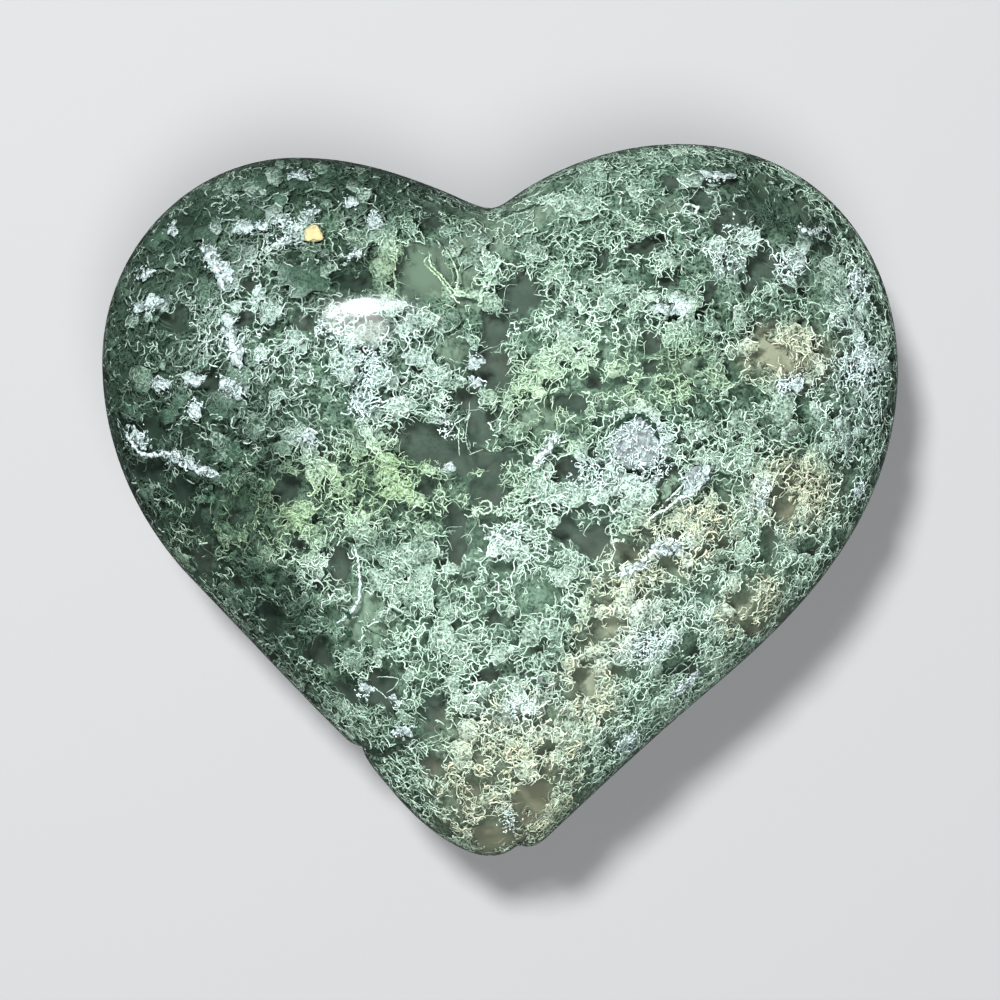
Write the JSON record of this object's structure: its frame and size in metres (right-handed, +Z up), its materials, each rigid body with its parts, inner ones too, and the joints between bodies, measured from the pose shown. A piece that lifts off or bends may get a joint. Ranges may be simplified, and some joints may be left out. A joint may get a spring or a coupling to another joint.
{
  "type": "moss agate heart",
  "caption": "Polished heart-shaped stone, domed on its face and back, with a soft valley below the notch and a small flat on the back to lie on.",
  "frame": {"origin": "middle of the box round the stone, on the surface that it rests on, inside the flat on its back", "axes": "+Z up out of the domed face, +Y from the tip towards the notch between the lobes, +X towards the right lobe as seen from above"},
  "size_m": [0.076, 0.068, 0.027],
  "materials": {
    "moss_agate": "polished"
  },
  "bodies": {
    "root": {"agate_heart": "moss_agate"}
  },
  "joints": []
}
